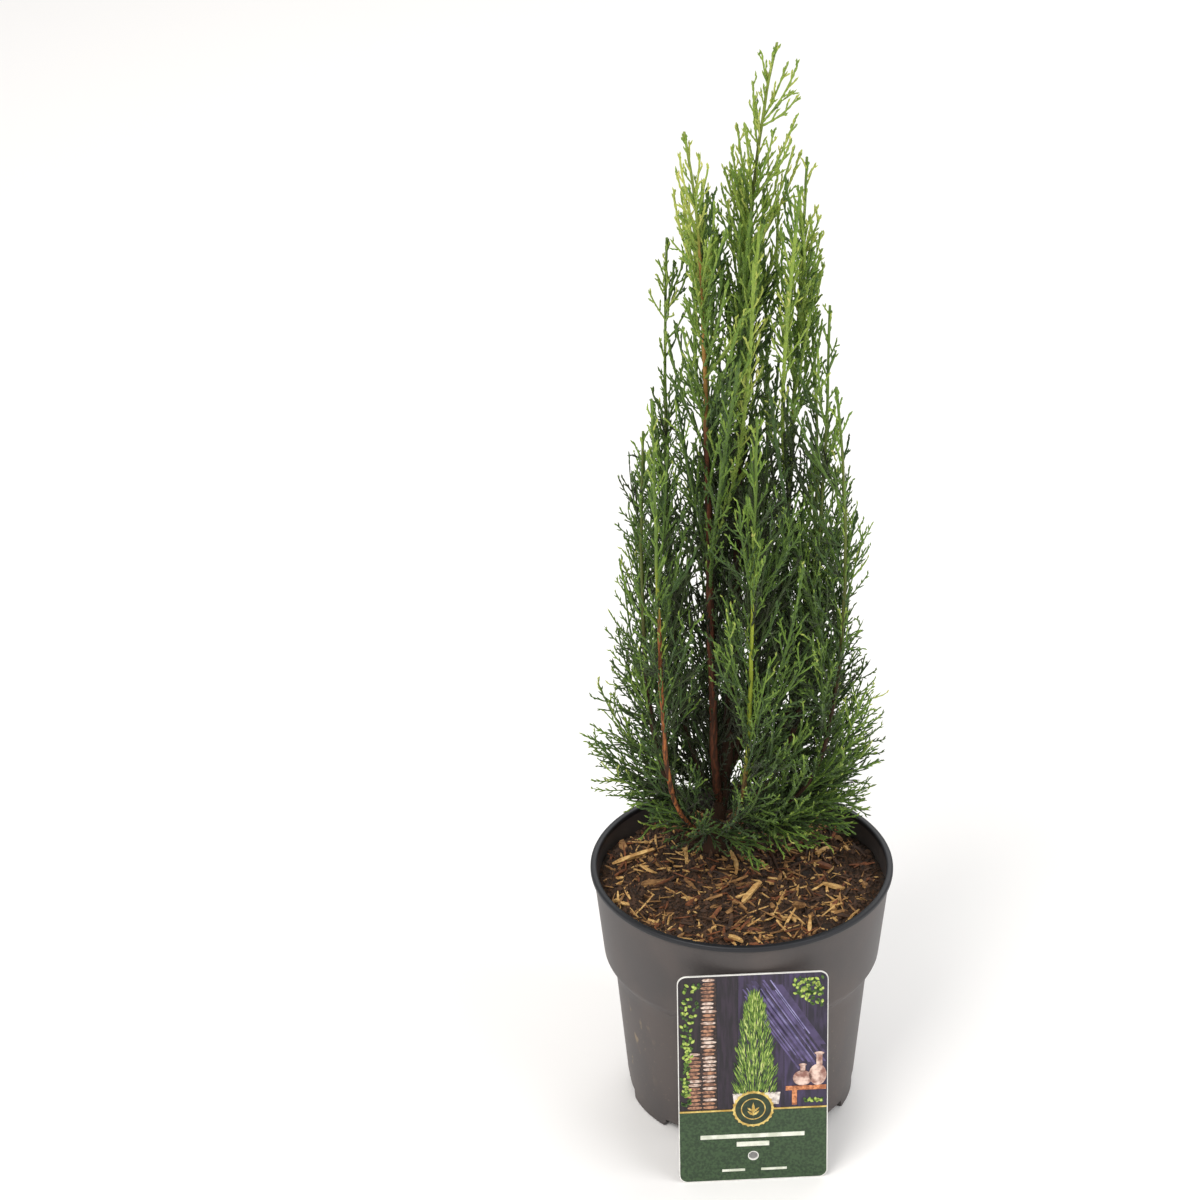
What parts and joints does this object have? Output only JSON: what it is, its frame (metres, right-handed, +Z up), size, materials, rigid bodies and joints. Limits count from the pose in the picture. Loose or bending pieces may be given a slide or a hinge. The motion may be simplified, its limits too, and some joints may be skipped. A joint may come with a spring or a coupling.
{
  "type": "potted italian cypress tree",
  "caption": "Young columnar Italian cypress growing as a clump of upright leads in a round dark plastic nursery pot, with a plain picture card leaning on the pot.",
  "frame": {"origin": "centre of the pot's flat underside, at ground level", "axes": "+Z up the trunk, -Y towards the side the card leans on, +X to the right seen from that side"},
  "size_m": [0.1737, 0.1864, 0.636],
  "materials": {
    "pot": "satin",
    "soil": "loose damp growing medium with bark chips",
    "card": "satin laminate",
    "bark": "matt, finely fissured",
    "foliage": "matt scale foliage, shaded",
    "fresh_foliage": "matt scale foliage, fresh"
  },
  "bodies": {
    "root": {"pot": "pot", "soil": "soil", "label_card": "card", "trunk": "bark", "bough_second_leader": "bark", "bough_third_leader": "bark", "bough_left_front": "bark", "bough_centre_front": "bark", "bough_right": "bark", "bough_right_outer": "bark", "bough_left": "bark", "bough_left_back": "bark", "bough_back_left": "bark", "bough_back": "bark", "bough_back_right": "bark", "foliage_leader": "fresh_foliage", "foliage_second_leader": "fresh_foliage", "foliage_third_leader": "fresh_foliage", "foliage_left_front": "fresh_foliage", "foliage_centre_front": "fresh_foliage", "foliage_right": "fresh_foliage", "foliage_right_outer": "fresh_foliage", "foliage_left": "fresh_foliage", "foliage_left_back": "fresh_foliage", "foliage_back_left": "fresh_foliage", "foliage_back": "fresh_foliage", "foliage_back_right": "fresh_foliage", "foliage_heart": "foliage", "foliage_skirt_right": "foliage", "foliage_skirt_back_right": "foliage", "foliage_skirt_back": "foliage", "foliage_skirt_back_left": "foliage", "foliage_skirt_left_back": "foliage", "foliage_skirt_left": "foliage", "foliage_skirt_front_right": "foliage", "foliage_skirt_front": "foliage"}
  },
  "joints": []
}
